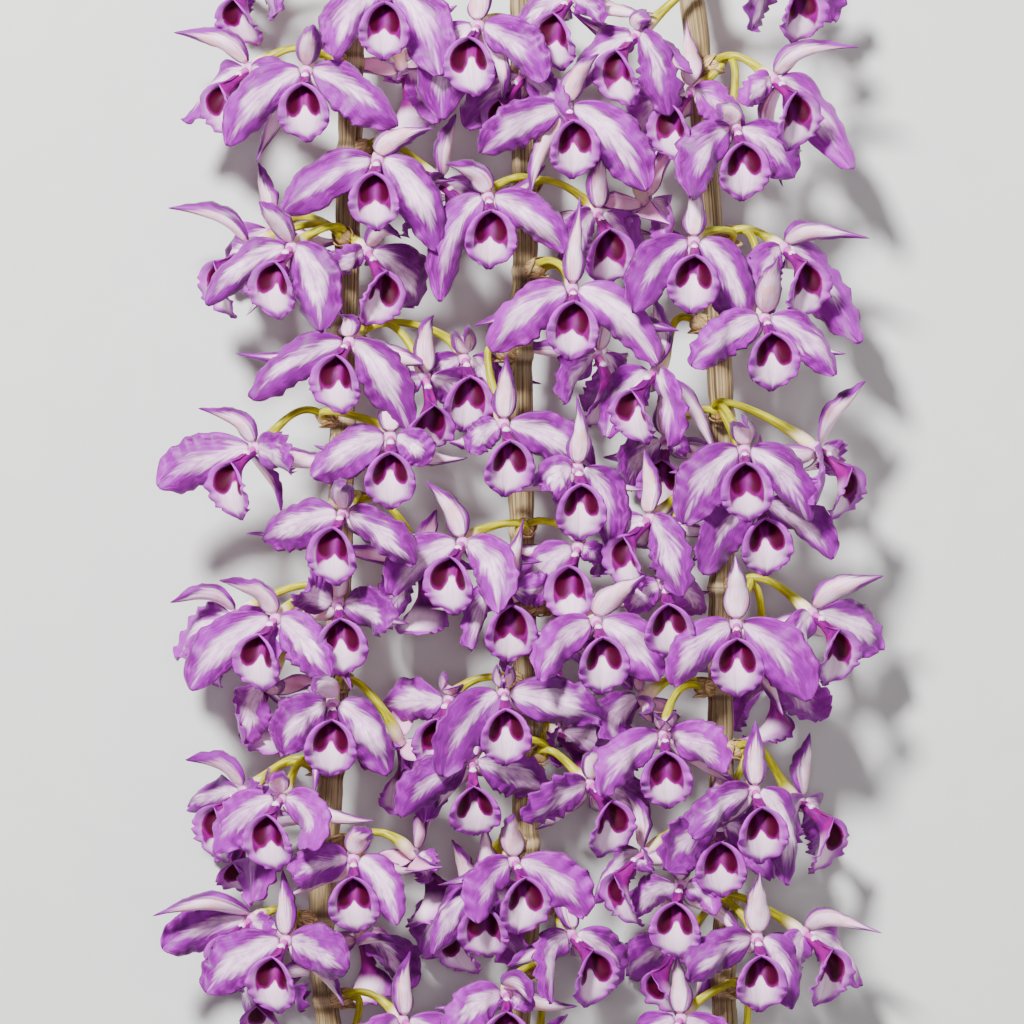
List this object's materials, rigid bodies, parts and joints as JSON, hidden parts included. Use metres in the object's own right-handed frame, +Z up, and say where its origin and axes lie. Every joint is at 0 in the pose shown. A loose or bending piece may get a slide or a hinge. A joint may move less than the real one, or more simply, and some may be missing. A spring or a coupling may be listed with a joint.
{
  "type": "dendrobium orchid",
  "caption": "Leafless hanging dendrobium orchid in full flower: long jointed canes from one rooted rhizome, with sprays of lilac and white blooms at the nodes, lying on its back.",
  "frame": {"origin": "middle of the plant's bounding box, at the surface it lies on", "axes": "+X across the canes, +Y along them towards the roots, +Z up from the surface to the side the blooms face"},
  "size_m": [0.2802, 0.635, 0.0912],
  "materials": {
    "rhizome": "woody, with pale roots",
    "cane": "dry straw grey sheath",
    "spray": "soft satin petals"
  },
  "bodies": {
    "root": {"rhizome": "rhizome", "cane_left": "cane", "cane_middle": "cane", "cane_right": "cane", "spray_left_01": "spray", "spray_left_02": "spray", "spray_left_03": "spray", "spray_left_04": "spray", "spray_left_05": "spray", "spray_left_06": "spray", "spray_left_07": "spray", "spray_left_08": "spray", "spray_left_09": "spray", "spray_left_10": "spray", "spray_left_11": "spray", "spray_left_12": "spray", "spray_left_13": "spray", "spray_middle_01": "spray", "spray_middle_02": "spray", "spray_middle_03": "spray", "spray_middle_04": "spray", "spray_middle_05": "spray", "spray_middle_06": "spray", "spray_middle_07": "spray", "spray_middle_08": "spray", "spray_middle_09": "spray", "spray_middle_10": "spray", "spray_middle_11": "spray", "spray_middle_12": "spray", "spray_middle_13": "spray", "spray_right_01": "spray", "spray_right_02": "spray", "spray_right_03": "spray", "spray_right_04": "spray", "spray_right_05": "spray", "spray_right_06": "spray", "spray_right_07": "spray", "spray_right_08": "spray", "spray_right_09": "spray", "spray_right_10": "spray", "spray_right_11": "spray", "spray_right_12": "spray", "spray_right_13": "spray"}
  },
  "joints": []
}
